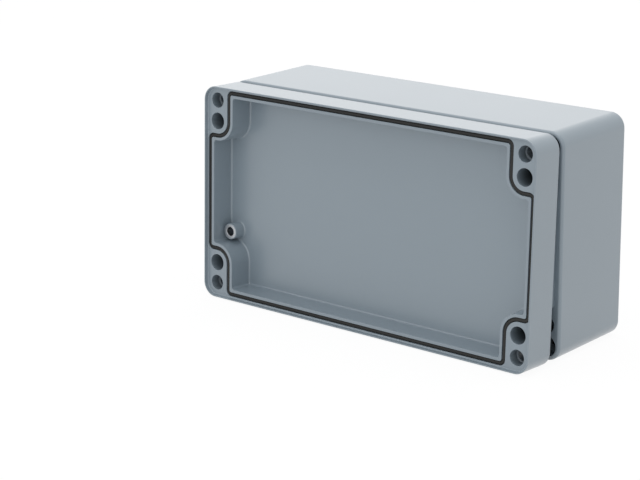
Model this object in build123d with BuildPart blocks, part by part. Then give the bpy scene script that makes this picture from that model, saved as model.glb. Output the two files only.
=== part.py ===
from build123d import *
import math
import os

# Die-cast aluminium enclosure in two halves, taken apart.
# The deep body stands on one long side with its back to +Y.
# The shallow lid stands on its long side before it, leans back on the body and shows its inside.
# Millimetres, X along the long sides, +Z up, floor at Z = 0, origin under the middle of the whole.

# Outside of both castings
length = 220.0
width = 120.0
corner_radius = 10.0
rim_chamfer = 1.0
lid_depth = 20.6
lid_back_chamfer = 1.2
body_depth = 57.5
body_back_chamfer = 1.0

# Skirt that stands round the lid's edge in front of its seal
skirt_height = 2.2
skirt_crest_width = 0.7
skirt_root_width = 1.1
skirt_chamfer = 0.35

# Lean of the lid on the body
lean_angle = 2.4
lean_gap = 0.2

# Line of the seal round the rim, measured to the middle of its cord
seal_inset_ends = 2.45
seal_inset_sides = 2.85
seal_turn_radius = 2.4
seal_wrap_radius = 8.2
groove_width = 2.3
groove_depth = 2.2
seal_side_gap = 0.2
seal_below_seat = 0.2
seal_crown_chamfer = 0.5
lip_width = 1.65
ridge_width = 1.4
ridge_height = 2.8

# Hollows inside the rims
cavity_corner_radius = 1.2
cavity_floor_chamfer = 0.8
tray_floor = 2.9
tray_draft = 2.3
body_floor = 4.0
body_draft = 1.0

# Pairs of holes in each corner post
screw_inset_ends = 8.0
screw_inset_sides = 7.9
hole_pitch = 11.7
screw_clearance_radius = 3.2
lid_pocket_radius = 4.2
lid_pocket_depth = 6.2
head_seat_radius = 5.5
head_seat_depth = 6.5
wall_head_radius = 4.6
wall_head_depth = 14.0
body_pocket_radius = 5.2
body_pocket_depth = 5.0
screw_thread_radius = 2.5
screw_thread_depth = 14.0
wall_hole_radius = 3.0

# Cast bosses
boss_top_chamfer = 0.4
earth_boss_radius = 4.5
earth_thread_radius = 2.5
earth_thread_depth = 7.0
lid_earth_height = 8.5
lid_earth_inset_end = 11.3
lid_earth_inset_side = 36.7
body_earth_height = 9.0
plate_boss_radius = 4.5
plate_boss_height = 8.0
plate_thread_radius = 1.65
plate_thread_depth = 7.0
plate_boss_margin = 9.0

# Places that follow from the sizes
half_length = length / 2
half_width = width / 2
seal_half_length = half_length - seal_inset_ends
seal_half_width = half_width - seal_inset_sides
post_x = half_length - screw_inset_ends
lid_screw_z = half_width - screw_inset_sides
wall_screw_z = lid_screw_z - hole_pitch
lip_inset = groove_width / 2 + lip_width
seat_depth = lid_depth - skirt_height
tray_depth = seat_depth - tray_floor
cavity_depth = body_depth - body_floor

# The lid stands on the chamfer of its back edge, and leans on the crest of the body's ridge
lean = math.radians(lean_angle)
lean_sin = math.sin(lean)
lean_cos = math.cos(lean)
lid_seat_height = half_width * lean_cos + (seat_depth - lid_back_chamfer) * lean_sin
crest_height = half_width + seal_half_width + ridge_width / 2
lid_back_reach = seat_depth / lean_cos + (crest_height - lid_seat_height) * math.tan(lean)
stand_distance = lid_back_reach + lean_gap + ridge_height
skirt_reach = (half_width - skirt_chamfer) * lean_sin + skirt_height * lean_cos
lid_seat_y = (skirt_reach - stand_distance - body_depth) / 2
body_rim_y = lid_seat_y + stand_distance

# The lid's seat, level with its seal and posts, and the body's rim face out of their openings, their own Y up
lid_seat = Plane(origin=(0, lid_seat_y, lid_seat_height), x_dir=(1, 0, 0), z_dir=(0, -lean_cos, lean_sin))
body_rim = Plane(origin=(0, body_rim_y, half_width), x_dir=(1, 0, 0), z_dir=(0, -1, 0))


def facing_axis(plane):
    """Axis out of an opening, along which a casting's rim, floor and back lie in layers."""
    return Axis(plane.origin, plane.z_dir)


def outline(plane, inset):
    """Oblong of both castings with its round corners, drawn in by an even width."""
    with BuildSketch(plane) as oblong:
        RectangleRounded(length - 2 * inset, width - 2 * inset, corner_radius - inset)
    return oblong.sketch


def seal_region(plane, growth):
    """Region inside the seal's line, grown outwards: an oblong that gives way to the four corner posts."""
    side = seal_half_width + growth
    end = seal_half_length + growth
    post_side = post_x - seal_wrap_radius + growth
    post_end = wall_screw_z - seal_wrap_radius + growth
    turn_radius = max(seal_turn_radius + growth, cavity_corner_radius)
    with BuildSketch(plane) as region:
        with BuildLine():
            FilletPolyline(
                (0, side),
                (post_side, side),
                (post_side, post_end),
                (end, post_end),
                (end, 0),
                radius=(turn_radius, seal_wrap_radius - growth, turn_radius),
            )
            mirror(about=Plane.YZ)
            mirror(about=Plane.XZ)
        make_face()
    return region.sketch


def seal_band(plane, band_width):
    """Closed band of even width along the seal's line."""
    with BuildSketch(plane) as band:
        add(seal_region(Plane.XY, band_width / 2))
        add(seal_region(Plane.XY, -band_width / 2), mode=Mode.SUBTRACT)
    return band.sketch


def hollow(opening, depth, draft_angle):
    """Space inside the seal's lip, narrowing by its draft to a floor with chamfered edges."""
    shrinkage = depth * math.tan(math.radians(draft_angle))
    mouth = seal_region(opening, -lip_inset)
    floor = seal_region(opening.offset(-depth), -lip_inset - shrinkage)
    with BuildPart() as space:
        loft([mouth, floor], ruled=True)
        chamfer(space.edges().group_by(facing_axis(opening))[0], cavity_floor_chamfer)
    return space.part


def bosses(floor, places, radius, height, thread_radius, thread_depth):
    """Round bosses on a floor, with chamfered tops and blind threaded holes."""
    with BuildPart(floor) as posts:
        with Locations(*places):
            Cylinder(radius, height, align=(Align.CENTER, Align.CENTER, Align.MIN))
        chamfer(posts.edges().group_by(facing_axis(floor))[-1], boss_top_chamfer)
        with Locations(*[(x, z, height) for x, z in places]):
            Hole(radius=thread_radius, depth=thread_depth)
    return posts.part


tray = hollow(lid_seat, tray_depth, tray_draft)
cavity = hollow(body_rim, cavity_depth, body_draft)

# The lid's one earth boss stands by its lower left corner post
lid_earth_place = (lid_earth_inset_end - half_length, lid_earth_inset_side - half_width)
lid_earth_boss = bosses(
    lid_seat.offset(-tray_depth),
    [lid_earth_place],
    earth_boss_radius,
    lid_earth_height,
    earth_thread_radius,
    earth_thread_depth,
)

# The body's floor carries four bosses for a mounting plate and one for the earth screw
body_shrinkage = cavity_depth * math.tan(math.radians(body_draft))
plate_boss_x = post_x - seal_wrap_radius - lip_inset - body_shrinkage - plate_boss_margin
plate_boss_z = seal_half_width - lip_inset - body_shrinkage - plate_boss_margin
plate_places = [(x, z) for x in (-plate_boss_x, plate_boss_x) for z in (-plate_boss_z, plate_boss_z)]
body_floor_plane = body_rim.offset(-cavity_depth)
plate_bosses = bosses(
    body_floor_plane,
    plate_places,
    plate_boss_radius,
    plate_boss_height,
    plate_thread_radius,
    plate_thread_depth,
)
body_earth_place = (plate_boss_x, 0)
body_earth_boss = bosses(
    body_floor_plane,
    [body_earth_place],
    earth_boss_radius,
    body_earth_height,
    earth_thread_radius,
    earth_thread_depth,
)

# Body: deep box with a crest that presses into the seal, drilled through at its corner posts
with BuildPart() as body:
    extrude(outline(body_rim, 0), amount=-body_depth)
    chamfer(body.edges().group_by(facing_axis(body_rim))[-1], rim_chamfer)
    chamfer(body.edges().group_by(facing_axis(body_rim))[0], body_back_chamfer)
    add(cavity, mode=Mode.SUBTRACT)
    add(plate_bosses)
    add(body_earth_boss)
    extrude(seal_band(body_rim, ridge_width), amount=ridge_height)
    with Locations(body_rim):
        with GridLocations(2 * post_x, 2 * lid_screw_z, 2, 2):
            CounterBoreHole(
                radius=screw_thread_radius,
                counter_bore_radius=body_pocket_radius,
                counter_bore_depth=body_pocket_depth,
                depth=body_pocket_depth + screw_thread_depth,
            )
        with GridLocations(2 * post_x, 2 * wall_screw_z, 2, 2):
            Hole(radius=wall_hole_radius)

# Lid: shallow tray inside a skirt, with the seal's groove, pockets at its posts and seats for screw heads
with BuildPart() as lid:
    skirt_crest = lid_seat.offset(skirt_height)
    extrude(outline(skirt_crest, 0), amount=-lid_depth)
    chamfer(lid.edges().group_by(facing_axis(lid_seat))[-1], skirt_chamfer)
    chamfer(lid.edges().group_by(facing_axis(lid_seat))[0], lid_back_chamfer)
    skirt_mouth = outline(skirt_crest, skirt_crest_width)
    skirt_foot = outline(lid_seat, skirt_root_width)
    loft([skirt_mouth, skirt_foot], ruled=True, mode=Mode.SUBTRACT)
    add(tray, mode=Mode.SUBTRACT)
    add(lid_earth_boss)
    extrude(seal_band(lid_seat, groove_width), amount=-groove_depth, mode=Mode.SUBTRACT)
    with Locations(lid_seat):
        with GridLocations(2 * post_x, 2 * lid_screw_z, 2, 2):
            CounterBoreHole(
                radius=screw_clearance_radius,
                counter_bore_radius=lid_pocket_radius,
                counter_bore_depth=lid_pocket_depth,
            )
        with GridLocations(2 * post_x, 2 * wall_screw_z, 2, 2):
            Hole(radius=wall_head_radius, depth=wall_head_depth)
    with BuildSketch(lid_seat.offset(-seat_depth)):
        with GridLocations(2 * post_x, 2 * lid_screw_z, 2, 2):
            Circle(head_seat_radius)
    extrude(amount=head_seat_depth, mode=Mode.SUBTRACT)

# Seal: cord with a chamfered crown that lies on the groove's floor
with BuildPart() as seal:
    cord_width = groove_width - 2 * seal_side_gap
    cord_height = groove_depth - seal_below_seat
    extrude(seal_band(lid_seat.offset(-groove_depth), cord_width), amount=cord_height)
    chamfer(seal.edges().group_by(facing_axis(lid_seat))[-1], seal_crown_chamfer)

os.makedirs("parts", exist_ok=True)
body.part.label = "body_casting"
lid.part.label = "lid_casting"
seal.part.label = "lid_seal"
for casting in (body, lid, seal):
    export_step(casting.part, f"parts/{casting.part.label}.step")
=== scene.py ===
import bmesh
import bpy
import math
from mathutils import Matrix, Vector


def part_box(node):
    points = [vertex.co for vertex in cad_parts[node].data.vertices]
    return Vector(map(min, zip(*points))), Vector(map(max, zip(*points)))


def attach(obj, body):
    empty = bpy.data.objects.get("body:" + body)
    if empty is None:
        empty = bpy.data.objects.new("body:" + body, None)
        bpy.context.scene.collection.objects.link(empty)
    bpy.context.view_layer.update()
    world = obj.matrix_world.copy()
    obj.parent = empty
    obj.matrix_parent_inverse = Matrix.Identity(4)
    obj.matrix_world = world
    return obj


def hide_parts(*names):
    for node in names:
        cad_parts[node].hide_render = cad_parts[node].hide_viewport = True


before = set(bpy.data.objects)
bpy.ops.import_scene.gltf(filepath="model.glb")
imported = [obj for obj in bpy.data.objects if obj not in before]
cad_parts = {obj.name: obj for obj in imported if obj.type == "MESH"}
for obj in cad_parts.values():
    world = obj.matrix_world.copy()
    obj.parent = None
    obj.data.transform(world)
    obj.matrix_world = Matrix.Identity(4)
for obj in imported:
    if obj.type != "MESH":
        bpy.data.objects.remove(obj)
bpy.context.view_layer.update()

# Die-cast aluminium enclosure, powder coated, in two halves taken apart.
# Each casting is modelled in millimetres with the face that carries its seal at Z = 0 and its
# opening towards +Z, X along its long sides and Y up, and is then set in its place.

# Outside of both castings
LENGTH, WIDTH = 220.0, 120.0
CORNER_RADIUS = 8.0
SEAT_DEPTH, LID_BACK_ROUNDING = 18.4, 1.0
BODY_DEPTH, BODY_BACK_ROUNDING, BODY_RIM_ROUNDING = 57.5, 1.4, 1.7

# Skirt that stands round the lid's edge
SKIRT_HEIGHT, SKIRT_CREST_WIDTH, SKIRT_ROOT_WIDTH = 2.2, 0.7, 1.1
SKIRT_ROUNDING, SKIRT_MOUTH_ROUNDING, SKIRT_FOOT_ROUNDING = 0.35, 0.15, 0.6

# The seal's line, measured to the middle of its cord
SEAL_INSET_ENDS, SEAL_INSET_SIDES = 2.45, 2.85
SEAL_TURN_RADIUS, SEAL_WRAP_RADIUS = 2.4, 8.2
GROOVE_WIDTH, GROOVE_DEPTH, GROOVE_ROUNDING = 2.3, 2.2, 0.12
SEAL_WIDTH, SEAL_BELOW_SEAT, SEAL_CROWN = 2.1, 0.2, 0.85
LIP_WIDTH = 1.65

# The body's ridge, shifted in from the seal's line
RIDGE_WIDTH, RIDGE_HEIGHT, RIDGE_ROUNDING, RIDGE_SHIFT = 0.9, 2.8, 0.3, -1.75

# Hollows inside the rims
TRAY_DEPTH, TRAY_DRAFT, TRAY_TURN = 14.1, 2.3, 1.65
CAVITY_DEPTH, CAVITY_DRAFT, CAVITY_TURN = 53.5, 1.0, 2.3
FLOOR_ROUNDING, MOUTH_ROUNDING = 1.0, 0.3

# Pairs of holes in the corner posts
POST_X, LID_SCREW_Y, WALL_SCREW_Y = 102.0, 52.1, 40.4
LID_POCKET_RADIUS, LID_POCKET_DEPTH = 4.2, 6.2
SCREW_CLEARANCE_RADIUS = 3.2
HEAD_SEAT_RADIUS, HEAD_SEAT_DEPTH = 5.5, 6.5
WALL_HEAD_RADIUS, WALL_HEAD_DEPTH = 4.6, 14.0
BODY_POCKET_RADIUS, BODY_POCKET_DEPTH = 5.8, 9.0
SCREW_THREAD_RADIUS, SCREW_THREAD_DEPTH = 2.5, 14.0
WALL_SEAT_RADIUS, WALL_SEAT_DEPTH, WALL_HOLE_RADIUS = 4.6, 9.0, 3.0
HOLE_BOTTOM_ROUNDING, STEP_ROUNDING = 0.4, 0.15

# Cast bosses, which start a little way down in their floor
BOSS_DRAFT, BOSS_FOOT_ROUNDING, BOSS_TOP_ROUNDING = 1.5, 0.9, 0.4
LID_BOSS_SUNK, BODY_BOSS_SUNK = 1.2, 2.0
EARTH_BOSS_RADIUS, EARTH_THREAD_RADIUS, EARTH_THREAD_DEPTH = 4.5, 2.5, 7.0
LID_EARTH_PLACE, LID_EARTH_HEIGHT = (-98.7, -23.3), 7.1
BODY_EARTH_HEIGHT = 9.0
PLATE_BOSS_RADIUS, PLATE_BOSS_HEIGHT = 4.5, 8.0
PLATE_THREAD_RADIUS, PLATE_THREAD_DEPTH = 1.65, 7.0
PLATE_BOSS_PLACE = (81.066, 44.416)

# How finely curves are divided
CORNER_STEPS, TURN_STEPS, WRAP_STEPS, CIRCLE_STEPS = 20, 8, 18, 72
WIDE_STEPS, FOOT_STEPS, MOUTH_STEPS, FINE_STEPS = 6, 5, 4, 3
SMOOTH_ANGLE = 38

# How far a cutter reaches past the face it cuts, and how far before that face its flare starts
OVER, SKIM = 1.0, 0.004

# A point this near to an edge or a level counts as on it
NEAR_EDGE, NEAR_LEVEL = 1e-3, 1e-4

# The scene is in metres
MM = 0.001
MERGE_DISTANCE = 2e-6

# Where the castings stand: the lid leans back on the body, on the cut edge of its back
LEAN = math.radians(2.4)
LID_BACK_CUT = 1.2
LID_SEAT_HEIGHT = WIDTH / 2 * math.cos(LEAN) + (SEAT_DEPTH - LID_BACK_CUT) * math.sin(LEAN)
SKIRT_REACH = (WIDTH / 2 - SKIRT_ROUNDING) * math.sin(LEAN) + SKIRT_HEIGHT * math.cos(LEAN)
LID_SEAT_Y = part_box("lid_casting")[0].y / MM + SKIRT_REACH
BODY_RIM_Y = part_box("body_casting")[1].y / MM - BODY_DEPTH


def standing(y, height, lean):
    """Puts a casting's own X, Y and opening direction where its seal's face stands."""
    up = (0, math.sin(lean), math.cos(lean))
    out = (0, -math.cos(lean), math.sin(lean))
    turn = Matrix(((1, up[0], out[0]), (0, up[1], out[1]), (0, up[2], out[2]))).to_4x4()
    return Matrix.Translation((0, y * MM, height * MM)) @ turn @ Matrix.Scale(MM, 4)


LID_PLACE = standing(LID_SEAT_Y, LID_SEAT_HEIGHT, LEAN)
BODY_PLACE = standing(BODY_RIM_Y, WIDTH / 2, 0)


# Modelling by hand
def deselect_all():
    bpy.ops.object.select_all(action="DESELECT")


def new_face(name):
    """Names the primitive that was just added and opens it for editing."""
    piece = bpy.context.object
    piece.name = piece.data.name = name
    bpy.ops.object.transform_apply(location=True, rotation=True, scale=True)
    bpy.ops.object.mode_set(mode="EDIT")
    bpy.ops.mesh.select_all(action="SELECT")
    return piece


def pick(piece, kind, test):
    """Selects, in edit mode, the vertices or faces that pass a test on their place."""
    bpy.ops.mesh.select_mode(type=kind)
    bpy.ops.mesh.select_all(action="DESELECT")
    shape = bmesh.from_edit_mesh(piece.data)
    for part in (shape.verts if kind == "VERT" else shape.faces):
        if test(part.co if kind == "VERT" else part.calc_center_median()):
            part.select_set(True)
    shape.select_flush_mode()
    bmesh.update_edit_mesh(piece.data)


def pick_end(piece, sign):
    """Selects the flat end of a piece, its top for +1 and its bottom for -1."""
    bpy.ops.mesh.select_all(action="SELECT")
    bpy.ops.mesh.normals_make_consistent(inside=False)
    shape = bmesh.from_edit_mesh(piece.data)
    level = max(sign * v.co.z for v in shape.verts)
    pick(piece, "FACE", lambda place: sign * place.z > level - NEAR_LEVEL)


def push(piece, distance):
    """Extrudes the selected flat end along Z and leaves its new place selected."""
    bpy.ops.mesh.extrude_region_move(TRANSFORM_OT_translate={"value": (0, 0, distance)})
    pick_end(piece, math.copysign(1, distance))


def narrow(inward, onward):
    """Moves the selected end on along its normal while its outline draws in evenly."""
    bpy.ops.mesh.inset(thickness=inward, depth=onward, use_even_offset=True)


def quarter_round(radius, steps, flare=False):
    """Narrows the selected end round a quarter circle: a rounded edge, or a hole's flared mouth."""
    inward = onward = 0.0
    for step in range(1, steps + 1):
        angle = math.pi / 2 * step / steps
        across, along = 1 - math.cos(angle), math.sin(angle)
        if flare:
            across, along = along, across
        narrow(radius * across - inward, radius * along - onward)
        inward, onward = radius * across, radius * along


def close_piece():
    bpy.ops.object.mode_set(mode="OBJECT")
    return bpy.context.object


def rounded_plate(name, length, width, corner_radius, height):
    """Flat oblong with round corners, open for editing."""
    deselect_all()
    bpy.ops.mesh.primitive_plane_add(size=1, location=(0, 0, height))
    bpy.context.object.scale = (length, width, 1)
    piece = new_face(name)
    bpy.ops.mesh.bevel(affect="VERTICES", offset=corner_radius, segments=CORNER_STEPS)
    bpy.ops.mesh.select_all(action="SELECT")
    return piece


def seal_plate(name, growth, turn_radius, height):
    """Flat shape inside the seal's line, grown by an amount: an oblong less its four posts."""
    side = WIDTH / 2 - SEAL_INSET_SIDES + growth
    end = LENGTH / 2 - SEAL_INSET_ENDS + growth
    post_side = POST_X - SEAL_WRAP_RADIUS + growth
    post_end = WALL_SCREW_Y - SEAL_WRAP_RADIUS + growth
    deselect_all()
    bpy.ops.mesh.primitive_plane_add(size=2, location=(0, 0, height))
    bpy.context.object.scale = (end, side, 1)
    piece = new_face(name)
    for x, y in ((post_side, 0), (-post_side, 0), (0, post_end), (0, -post_end)):
        bpy.ops.mesh.select_all(action="SELECT")
        bpy.ops.mesh.bisect(plane_co=(x, y, height), plane_no=(x, y, 0))
    pick(piece, "FACE", lambda place: abs(place.x) > post_side and abs(place.y) > post_end)
    bpy.ops.mesh.delete(type="FACE")
    bpy.ops.mesh.select_all(action="SELECT")
    bpy.ops.mesh.dissolve_limited(angle_limit=math.radians(1))
    near_end, near_side = end - NEAR_EDGE, side - NEAR_EDGE
    pick(piece, "VERT", lambda place: abs(place.x) < near_end and abs(place.y) < near_side)
    bpy.ops.mesh.bevel(affect="VERTICES", offset=SEAL_WRAP_RADIUS - growth, segments=WRAP_STEPS)
    pick(piece, "VERT", lambda place: abs(place.x) > near_end or abs(place.y) > near_side)
    bpy.ops.mesh.bevel(affect="VERTICES", offset=turn_radius, segments=TURN_STEPS)
    bpy.ops.mesh.select_mode(type="FACE")
    bpy.ops.mesh.select_all(action="SELECT")
    return piece


def seal_band(name, band_width, height, shift=0.0):
    """Flat closed band of even width along the seal's line or beside it, open for editing."""
    growth = shift + band_width / 2
    piece = seal_plate(name, growth, SEAL_TURN_RADIUS + growth, height)
    narrow(band_width, 0)
    bpy.ops.mesh.delete(type="FACE")
    bpy.ops.mesh.select_all(action="SELECT")
    return piece


def disc(name, radius, height):
    """Flat disc, open for editing."""
    deselect_all()
    bpy.ops.mesh.primitive_circle_add(
        vertices=CIRCLE_STEPS, radius=radius, fill_type="NGON", location=(0, 0, height))
    return new_face(name)


def hollow(name, depth, draft, turn_radius):
    """Cutter for the space inside the seal's lip, with a flared mouth and a rounded floor."""
    growth = MOUTH_ROUNDING - GROOVE_WIDTH / 2 - LIP_WIDTH
    piece = seal_plate(name, growth, turn_radius + MOUTH_ROUNDING, OVER)
    push(piece, SKIM - OVER)
    quarter_round(MOUTH_ROUNDING, MOUTH_STEPS, flare=True)
    wall = depth - MOUTH_ROUNDING - FLOOR_ROUNDING
    narrow(wall * math.tan(math.radians(draft)), wall)
    quarter_round(FLOOR_ROUNDING, WIDE_STEPS)
    return close_piece()


def drill(name, radius, depth):
    """Cutter for a blind hole, with a flared mouth and a rounded bottom."""
    piece = disc(name, radius + MOUTH_ROUNDING, OVER)
    push(piece, SKIM - OVER)
    quarter_round(MOUTH_ROUNDING, MOUTH_STEPS, flare=True)
    push(piece, -(depth - MOUTH_ROUNDING - HOLE_BOTTOM_ROUNDING))
    quarter_round(HOLE_BOTTOM_ROUNDING, FINE_STEPS)
    return piece


def deepen(piece, wide_radius, narrow_radius, depth):
    """Drills a narrower hole on from the bottom of the hole that is open for editing."""
    narrow(wide_radius - HOLE_BOTTOM_ROUNDING - narrow_radius - STEP_ROUNDING, 0)
    quarter_round(STEP_ROUNDING, FINE_STEPS, flare=True)
    push(piece, -(depth - STEP_ROUNDING))


def boss(name, radius, height, sunk):
    """Drafted round boss that blends into the floor at its foot, rounded at its top."""
    rise = height - BOSS_FOOT_ROUNDING - BOSS_TOP_ROUNDING
    spread = rise * math.tan(math.radians(BOSS_DRAFT))
    piece = disc(name, radius + spread + BOSS_FOOT_ROUNDING, -sunk)
    push(piece, sunk)
    quarter_round(BOSS_FOOT_ROUNDING, FOOT_STEPS, flare=True)
    narrow(spread, rise)
    quarter_round(BOSS_TOP_ROUNDING, MOUTH_STEPS)
    return close_piece()


def copies(piece, places):
    """The piece at the first place and a copy with its own mesh at each other place."""
    spread = [piece]
    for _ in places[1:]:
        twin = piece.copy()
        twin.data = piece.data.copy()
        bpy.context.scene.collection.objects.link(twin)
        spread.append(twin)
    for twin, place in zip(spread, places):
        twin.location = place
    return spread


def four(x, y, z=0.0):
    """Four places alike about both middle lines."""
    return [(sx * x, sy * y, z) for sx in (-1, 1) for sy in (-1, 1)]


def join(pieces):
    deselect_all()
    for piece in pieces:
        piece.select_set(True)
    bpy.context.view_layer.objects.active = pieces[0]
    bpy.ops.object.transform_apply(location=True, rotation=True, scale=True)
    bpy.ops.object.join()
    return pieces[0]


def apply_modifier(piece, kind, **settings):
    deselect_all()
    piece.select_set(True)
    bpy.context.view_layer.objects.active = piece
    modifier = piece.modifiers.new(kind, kind)
    for key, value in settings.items():
        setattr(modifier, key, value)
    bpy.ops.object.modifier_apply(modifier=modifier.name)


def combine(piece, tools, operation):
    """Cuts the tools out of a piece, or adds them to it, and clears them away."""
    tool = join(tools)
    apply_modifier(piece, "BOOLEAN", operation=operation, solver="EXACT", object=tool)
    bpy.data.objects.remove(tool)


def block(name, depth, back_rounding, height, rim_rounding):
    """Outside of a casting: rounded oblong with a rounded rim and back edge."""
    piece = rounded_plate(name, LENGTH, WIDTH, CORNER_RADIUS, back_rounding - depth)
    push(piece, depth + height - back_rounding - rim_rounding)
    quarter_round(rim_rounding, WIDE_STEPS)
    pick_end(piece, -1)
    quarter_round(back_rounding, WIDE_STEPS)
    return close_piece()


def set_in_place(piece, place, node, material):
    """Sets a finished piece where its casting stands, shades it, hangs it on the root body and
    hides the CAD part it stands in for.
    """
    piece.matrix_world = place
    deselect_all()
    piece.select_set(True)
    bpy.context.view_layer.objects.active = piece
    bpy.ops.object.transform_apply(location=True, rotation=True, scale=True)
    bpy.ops.object.mode_set(mode="EDIT")
    bpy.ops.mesh.select_all(action="SELECT")
    bpy.ops.mesh.remove_doubles(threshold=MERGE_DISTANCE)
    bpy.ops.mesh.normals_make_consistent(inside=False)
    bpy.ops.object.mode_set(mode="OBJECT")
    bpy.ops.object.shade_smooth_by_angle(angle=math.radians(SMOOTH_ANGLE))
    apply_modifier(piece, "WEIGHTED_NORMAL", keep_sharp=True, weight=100)
    piece.data.materials.clear()
    piece.data.materials.append(material)
    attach(piece, "root")
    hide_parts(node)


# Finishes: linear colours, with patterns and depths in millimetres
COAT_DARK, COAT_LIGHT = (0.231, 0.285, 0.329, 1), (0.247, 0.303, 0.349, 1)
# Painted shade for deep holes: the near-black colour the coat darkens to, and how far below a
# hole's mouth it starts
HOLE_SHADE_PAINT, HOLE_SHADE_FROM = (0.02, 0.022, 0.027, 1), 0.6
METAL_DARK, METAL_LIGHT = (0.46, 0.48, 0.50, 1), (0.58, 0.60, 0.62, 1)
PEEL_SIZE, GRAIN_SIZE, DRIFT_SIZE, PEEL_DEPTH = 1.4, 0.45, 35, 0.012
TURNING_MARK_WIDTH, TURNING_MARK_SHARE = 0.18, 0.15
RUBBER_DARK, RUBBER_BLOOM = (0.005, 0.005, 0.0045, 1), (0.012, 0.012, 0.011, 1)
PORE_SIZE, BLOOM_SIZE, PORE_DEPTH = 0.25, 9, 0.02


class Level:
    """A value in a finish's nodes, so that grains and masks read as plain arithmetic."""

    def __init__(self, finish, socket):
        self.finish, self.socket = finish, socket

    def worked(self, operation, first, second):
        return self.finish.add("ShaderNodeMath", {"operation": operation}, {0: first, 1: second})

    def __add__(self, other):
        return self.worked("ADD", self, other)

    def __sub__(self, other):
        return self.worked("SUBTRACT", self, other)

    def __rsub__(self, other):
        return self.worked("SUBTRACT", other, self)

    def __mul__(self, other):
        return self.worked("MULTIPLY", self, other)

    def __pow__(self, other):
        return self.worked("POWER", self, other)

    def __lt__(self, other):
        return self.worked("LESS_THAN", self, other)

    def __gt__(self, other):
        return self.worked("GREATER_THAN", self, other)

    def __abs__(self):
        return self.worked("ABSOLUTE", self, 0)

    __radd__ = __add__


class Finish:
    """One procedural material, in whose patterns sizes are given in millimetres."""

    def __init__(self, owner):
        owner.use_nodes = True
        self.nodes, self.links = owner.node_tree.nodes, owner.node_tree.links

    def add(self, kind, settings, inputs, output=0):
        """Adds a node, with its settings first and then the values or links of its sockets."""
        node = self.nodes.new(kind)
        for name, value in settings.items():
            setattr(node, name, value)
        for place, value in inputs.items():
            self.feed(node.inputs[place], value)
        return Level(self, node.outputs[output])

    def feed(self, socket, value):
        if isinstance(value, Level):
            self.links.new(value.socket, socket)
        else:
            socket.default_value = value

    def noise(self, size, detail):
        """Even noise about a half, with grains of a size."""
        place = self.add("ShaderNodeTexCoord", {}, {}, "Object")
        grain = {"Vector": place, "Scale": 1 / (size * MM), "Detail": detail}
        return self.add("ShaderNodeTexNoise", {}, grain, "Fac")

    def blend(self, share, first, second):
        """Colour between two colours."""
        return self.add("ShaderNodeMix", {"data_type": "RGBA"}, {0: share, 6: first, 7: second}, 2)

    def bump(self, height, depth):
        """Normal of a surface whose height runs over a depth in millimetres."""
        relief = {"Strength": 1.0, "Distance": depth * MM, "Height": height}
        return self.add("ShaderNodeBump", {}, relief)


def shade(material, finish, **levels):
    """Feeds a material's shader, each socket named with its spaces left out."""
    shader = material.node_tree.nodes["Principled BSDF"]
    for socket in shader.inputs:
        value = levels.get(socket.name.replace(" ", ""))
        if value is not None:
            finish.feed(socket, value)
    return material


def powder_coat(name, place, bare_spots, shaded_holes):
    """Grey powder coat with a fine orange peel, for the casting that stands at a place.

    Bare spots (X, Y, radius, bottom, top) are left uncoated: screw threads and earth faces.
    Shaded holes (X, Y, radius, depth, bottom) get painted shade that darkens towards a depth,
    standing in for the shade deep in a hole: a depth beyond the hole's own leaves its bottom only
    partly dark. Both kinds of spot are in the casting's own millimetres and repeat across its two
    middle lines.
    """
    material = bpy.data.materials.new(name)
    finish = Finish(material)
    own = finish.add("ShaderNodeMapping", {"vector_type": "TEXTURE"}, {
        "Vector": finish.add("ShaderNodeTexCoord", {}, {}, "Object"),
        "Location": place.to_translation(), "Rotation": place.to_euler(), "Scale": (MM, MM, MM)})
    x, y, z = (finish.add("ShaderNodeSeparateXYZ", {}, {0: own}, axis) for axis in range(3))
    bare = turning = hole_shade = 0.0
    for middle_x, middle_y, radius, bottom, top in bare_spots:
        away = ((abs(x) - middle_x) ** 2 + (abs(y) - middle_y) ** 2) ** 0.5
        spot = (away < radius) * (z > bottom) * (z < top)
        marks = finish.add("ShaderNodeMath", {"operation": "SINE"},
                           {0: away * (2 * math.pi / TURNING_MARK_WIDTH)})
        bare = spot + bare
        turning = spot * marks + turning
    # Painted shade: inside each listed hole the coat's colour darkens with depth
    for middle_x, middle_y, radius, depth, bottom in shaded_holes:
        away = ((abs(x) - middle_x) ** 2 + (abs(y) - middle_y) ** 2) ** 0.5
        deep = finish.add("ShaderNodeMapRange", {}, {
            "Value": z, "From Min": -HOLE_SHADE_FROM, "From Max": -depth, "To Min": 0.0, "To Max": 1.0})
        hole_shade = (away < radius) * (z > bottom) * deep + hole_shade
    peel, grain = finish.noise(PEEL_SIZE, 1), finish.noise(GRAIN_SIZE, 2)
    drift = finish.noise(DRIFT_SIZE, 2)
    coat = finish.blend(grain * 0.5 + drift * 0.5, COAT_DARK, COAT_LIGHT)
    metal = finish.blend(grain, METAL_DARK, METAL_LIGHT)
    relief = (peel * 0.7 + grain * 0.3) * (1 - bare) + turning * TURNING_MARK_SHARE
    coat_roughness, metal_roughness = 0.36 + grain * 0.1 + drift * 0.06, 0.28 + grain * 0.14
    # The painted hole shade darkens the base colour and takes away the clear coat
    return shade(
        material, finish, Metallic=bare, Normal=finish.bump(relief, PEEL_DEPTH),
        BaseColor=finish.blend(hole_shade, finish.blend(bare, coat, metal), HOLE_SHADE_PAINT),
        Roughness=coat_roughness * (1 - bare) + metal_roughness * bare,
        CoatWeight=(1 - bare) * (1 - hole_shade), CoatRoughness=0.28)


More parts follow.
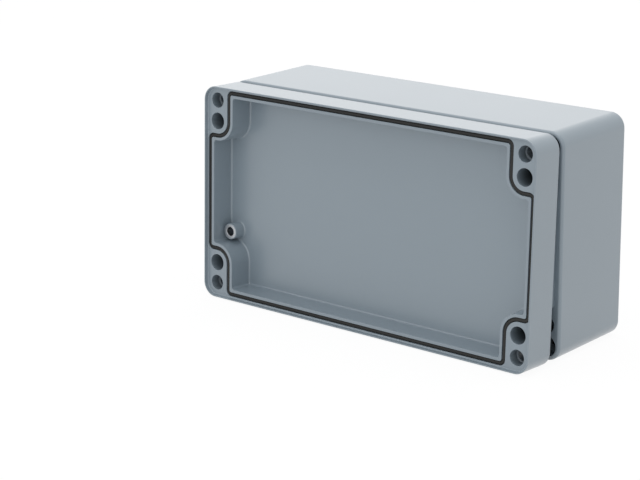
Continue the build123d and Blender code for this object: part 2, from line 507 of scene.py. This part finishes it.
def rubber(name):
    """Black foamed rubber with fine pores and a faint bloom."""
    material = bpy.data.materials.new(name)
    finish = Finish(material)
    pores, bloom = finish.noise(PORE_SIZE, 3), finish.noise(BLOOM_SIZE, 3)
    return shade(
        material, finish, BaseColor=finish.blend(bloom, RUBBER_DARK, RUBBER_BLOOM),
        Roughness=0.5 + pores * 0.15 + bloom * 0.15, Normal=finish.bump(pores, PORE_DEPTH))


LID_EARTH_TOP = LID_EARTH_HEIGHT - TRAY_DEPTH
BODY_EARTH_TOP = BODY_EARTH_HEIGHT - CAVITY_DEPTH
PLATE_BOSS_TOP = PLATE_BOSS_HEIGHT - CAVITY_DEPTH
BODY_EARTH_X = PLATE_BOSS_PLACE[0]
EARTH_FACE_RADIUS = EARTH_BOSS_RADIUS - BOSS_TOP_ROUNDING

# The lid has only one earth boss, so its spots end above the tray's floor, where they'd repeat
LID_EARTH_SPOT = (-LID_EARTH_PLACE[0], -LID_EARTH_PLACE[1])
LID_EARTH_BOTTOM = LID_EARTH_TOP - EARTH_THREAD_DEPTH + MOUTH_ROUNDING
LID_COAT = powder_coat("lid powder coat", LID_PLACE, [
    (*LID_EARTH_SPOT, EARTH_FACE_RADIUS, LID_EARTH_BOTTOM, LID_EARTH_TOP + OVER),
], [
    # Holes given painted shade, darker with depth
    (POST_X, WALL_SCREW_Y, WALL_HEAD_RADIUS + OVER, WALL_HEAD_DEPTH, -WALL_HEAD_DEPTH - OVER),
    (POST_X, LID_SCREW_Y, LID_POCKET_RADIUS + OVER,
     2 * LID_POCKET_DEPTH, HEAD_SEAT_DEPTH - SEAT_DEPTH),
    (*LID_EARTH_SPOT, EARTH_THREAD_RADIUS + SKIM, 4 * EARTH_THREAD_DEPTH, LID_EARTH_BOTTOM),
])
BODY_COAT = powder_coat("body powder coat", BODY_PLACE, [
    (BODY_EARTH_X, 0, EARTH_FACE_RADIUS,
     BODY_EARTH_TOP - EARTH_THREAD_DEPTH - OVER, BODY_EARTH_TOP + OVER),
    (*PLATE_BOSS_PLACE, PLATE_THREAD_RADIUS + OVER,
     PLATE_BOSS_TOP - PLATE_THREAD_DEPTH - OVER, PLATE_BOSS_TOP - MOUTH_ROUNDING),
    (POST_X, LID_SCREW_Y, SCREW_THREAD_RADIUS + OVER,
     -BODY_POCKET_DEPTH - SCREW_THREAD_DEPTH - OVER, -BODY_POCKET_DEPTH - MOUTH_ROUNDING),
], [
    # Holes given painted shade, darker with depth
    (POST_X, WALL_SCREW_Y, WALL_SEAT_RADIUS + OVER, 2 * WALL_SEAT_DEPTH, OVER - BODY_DEPTH),
    (POST_X, LID_SCREW_Y, BODY_POCKET_RADIUS + OVER, 2 * BODY_POCKET_DEPTH, OVER - BODY_DEPTH),
])
SEAL_RUBBER = rubber("seal rubber")

# The lid: shallow tray in a skirt, with a groove for the seal, holes in its posts and an earth boss
lid = block("lid", SEAT_DEPTH, LID_BACK_ROUNDING, SKIRT_HEIGHT, SKIRT_ROUNDING)
mouth_inset = SKIRT_CREST_WIDTH - SKIRT_MOUTH_ROUNDING
recess = rounded_plate("recess", LENGTH - 2 * mouth_inset, WIDTH - 2 * mouth_inset,
                       CORNER_RADIUS - mouth_inset, SKIRT_HEIGHT + OVER)
push(recess, SKIM - OVER)
quarter_round(SKIRT_MOUTH_ROUNDING, FINE_STEPS, flare=True)
skirt_wall = SKIRT_HEIGHT - SKIRT_MOUTH_ROUNDING - SKIRT_FOOT_ROUNDING
skirt_draft = (SKIRT_ROOT_WIDTH - SKIRT_CREST_WIDTH) / SKIRT_HEIGHT
narrow(skirt_wall * skirt_draft, skirt_wall + SKIM)
quarter_round(SKIRT_FOOT_ROUNDING, WIDE_STEPS)
close_piece()
combine(lid, [recess], "DIFFERENCE")
groove = seal_band("groove", GROOVE_WIDTH + 2 * GROOVE_ROUNDING, OVER)
push(groove, SKIM - OVER)
quarter_round(GROOVE_ROUNDING, FINE_STEPS, flare=True)
push(groove, GROOVE_ROUNDING - GROOVE_DEPTH)
close_piece()
pocket = drill("lid pocket", LID_POCKET_RADIUS, LID_POCKET_DEPTH)
deepen(pocket, LID_POCKET_RADIUS, SCREW_CLEARANCE_RADIUS,
       SEAT_DEPTH - LID_POCKET_DEPTH - HEAD_SEAT_DEPTH + OVER)
close_piece()
wall_head = drill("wall screw's head", WALL_HEAD_RADIUS, WALL_HEAD_DEPTH)
close_piece()
tray = hollow("tray", TRAY_DEPTH, TRAY_DRAFT, TRAY_TURN)
combine(lid, [tray, groove, *copies(pocket, four(POST_X, LID_SCREW_Y)),
              *copies(wall_head, four(POST_X, WALL_SCREW_Y))], "DIFFERENCE")
earth_boss = boss("lid earth boss", EARTH_BOSS_RADIUS, LID_EARTH_HEIGHT, LID_BOSS_SUNK)
combine(lid, copies(earth_boss, [(*LID_EARTH_PLACE, -TRAY_DEPTH)]), "UNION")
earth_thread = drill("lid earth thread", EARTH_THREAD_RADIUS, EARTH_THREAD_DEPTH)
close_piece()
head_seat = disc("head seat", HEAD_SEAT_RADIUS + MOUTH_ROUNDING, -SEAT_DEPTH - OVER)
push(head_seat, OVER - SKIM)
quarter_round(MOUTH_ROUNDING, MOUTH_STEPS, flare=True)
push(head_seat, HEAD_SEAT_DEPTH - MOUTH_ROUNDING)
close_piece()
combine(lid, [*copies(earth_thread, [(*LID_EARTH_PLACE, LID_EARTH_TOP)]),
              *copies(head_seat, four(POST_X, LID_SCREW_Y))], "DIFFERENCE")
set_in_place(lid, LID_PLACE, "lid_casting", LID_COAT)

# The seal: cord with a rounded crown on the groove's floor
seal = seal_band("seal", SEAL_WIDTH, -GROOVE_DEPTH)
push(seal, GROOVE_DEPTH - SEAL_BELOW_SEAT - SEAL_CROWN)
quarter_round(SEAL_CROWN, WIDE_STEPS)
close_piece()
set_in_place(seal, LID_PLACE, "lid_seal", SEAL_RUBBER)

# The body: deep box with a ridge for the lid to lean on, tapped and drilled at its posts
body = block("body", BODY_DEPTH, BODY_BACK_ROUNDING, 0, BODY_RIM_ROUNDING)
combine(body, [hollow("cavity", CAVITY_DEPTH, CAVITY_DRAFT, CAVITY_TURN)], "DIFFERENCE")
ridge = seal_band("ridge", RIDGE_WIDTH, -OVER, RIDGE_SHIFT)
push(ridge, OVER + RIDGE_HEIGHT - RIDGE_ROUNDING)
quarter_round(RIDGE_ROUNDING, FINE_STEPS)
close_piece()
plate_boss = boss("plate boss", PLATE_BOSS_RADIUS, PLATE_BOSS_HEIGHT, BODY_BOSS_SUNK)
body_earth_boss = boss("body earth boss", EARTH_BOSS_RADIUS, BODY_EARTH_HEIGHT, BODY_BOSS_SUNK)
combine(body, [ridge, *copies(plate_boss, four(*PLATE_BOSS_PLACE, -CAVITY_DEPTH)),
               *copies(body_earth_boss, [(BODY_EARTH_X, 0, -CAVITY_DEPTH)])], "UNION")
screw_hole = drill("lid screw's thread", BODY_POCKET_RADIUS, BODY_POCKET_DEPTH)
deepen(screw_hole, BODY_POCKET_RADIUS, SCREW_THREAD_RADIUS, SCREW_THREAD_DEPTH)
close_piece()
wall_hole = drill("wall hole", WALL_SEAT_RADIUS, WALL_SEAT_DEPTH)
deepen(wall_hole, WALL_SEAT_RADIUS, WALL_HOLE_RADIUS, BODY_DEPTH - WALL_SEAT_DEPTH + OVER)
close_piece()
plate_thread = drill("plate thread", PLATE_THREAD_RADIUS, PLATE_THREAD_DEPTH)
close_piece()
body_earth_thread = drill("body earth thread", EARTH_THREAD_RADIUS, EARTH_THREAD_DEPTH)
close_piece()
combine(body, [*copies(screw_hole, four(POST_X, LID_SCREW_Y)),
               *copies(wall_hole, four(POST_X, WALL_SCREW_Y)),
               *copies(plate_thread, four(*PLATE_BOSS_PLACE, PLATE_BOSS_TOP)),
               *copies(body_earth_thread, [(BODY_EARTH_X, 0, BODY_EARTH_TOP)])], "DIFFERENCE")
set_in_place(body, BODY_PLACE, "body_casting", BODY_COAT)

# Floor, light and camera: what shows of the floor adds up to white, less a faint shadow
FLOOR_SIZE, FLOOR_GREY, FLOOR_GLOW, FLOOR_GLOW_SHARE = 12, 0.75, 1.04, 0.9
SKY_LIGHT = 0.69
MIDDLE = (0, 0, 0.06)


def in_view(finish):
    """One for what is seen straight, mirrored or through something, and nought for other light."""
    seen = 0.0
    for ray in ("Is Camera Ray", "Is Glossy Ray", "Is Transmission Ray"):
        seen = finish.add("ShaderNodeLightPath", {}, {}, ray) + seen
    return seen > 0.5


deselect_all()
bpy.ops.mesh.primitive_plane_add(size=FLOOR_SIZE, location=(0, 0, 0))
floor = bpy.context.object
floor.name = "floor"
pale = bpy.data.materials.new("pale floor")
paint = Finish(pale)
grey = (FLOOR_GREY, FLOOR_GREY, FLOOR_GREY, 1)
matt = paint.add("ShaderNodeBsdfDiffuse", {}, {"Color": grey})
glow = paint.add("ShaderNodeEmission", {}, {"Color": (1, 1, 1, 1), "Strength": FLOOR_GLOW})
glow_share = in_view(paint) * FLOOR_GLOW_SHARE
mixed = paint.add("ShaderNodeMixShader", {}, {0: glow_share, 1: matt, 2: glow})
paint.feed(pale.node_tree.nodes["Material Output"].inputs["Surface"], mixed)
floor.data.materials.append(pale)

scene = bpy.context.scene
scene.view_settings.view_transform = "Standard"
world = bpy.data.worlds.new("studio")
scene.world = world
sky = Finish(world)
shown = sky.add("ShaderNodeBackground", {}, {"Color": (1, 1, 1, 1), "Strength": 1.0})
soft = sky.add("ShaderNodeBackground", {}, {"Color": (1, 1, 1, 1), "Strength": SKY_LIGHT})
sky.feed(world.node_tree.nodes["World Output"].inputs["Surface"],
         sky.add("ShaderNodeMixShader", {}, {0: in_view(sky), 1: soft, 2: shown}))


def softbox(name, place, aim, width, height, energy):
    """Large soft lamp that faces a point."""
    lamp = bpy.data.objects.new(name, bpy.data.lights.new(name, "AREA"))
    lamp.data.shape = "RECTANGLE"
    lamp.data.size, lamp.data.size_y, lamp.data.energy = width, height, energy
    lamp.location = place
    lamp.rotation_euler = (Vector(aim) - Vector(place)).to_track_quat("-Z", "Y").to_euler()
    scene.collection.objects.link(lamp)


softbox("softbox behind", (-0.9, 1.3, 0.55), MIDDLE, width=1.8, height=1.0, energy=1.8)
softbox("softbox above", (0, 0, 1.3), (0, 0, 0), width=1.2, height=1.2, energy=5.8)
softbox("softbox in front", (0.25, -1.4, 0.5), MIDDLE, width=1.2, height=1.2, energy=2.8)

camera = bpy.data.objects.new("camera", bpy.data.cameras.new("camera"))
camera.location = (0.62659, -0.81439, 0.34413)
camera.rotation_euler = (math.radians(90 - 16.353), math.radians(0.629), math.radians(39.947))
camera.data.lens = 110.98
camera.data.sensor_width = 36
camera.data.clip_start = 0.01
scene.collection.objects.link(camera)
scene.camera = camera
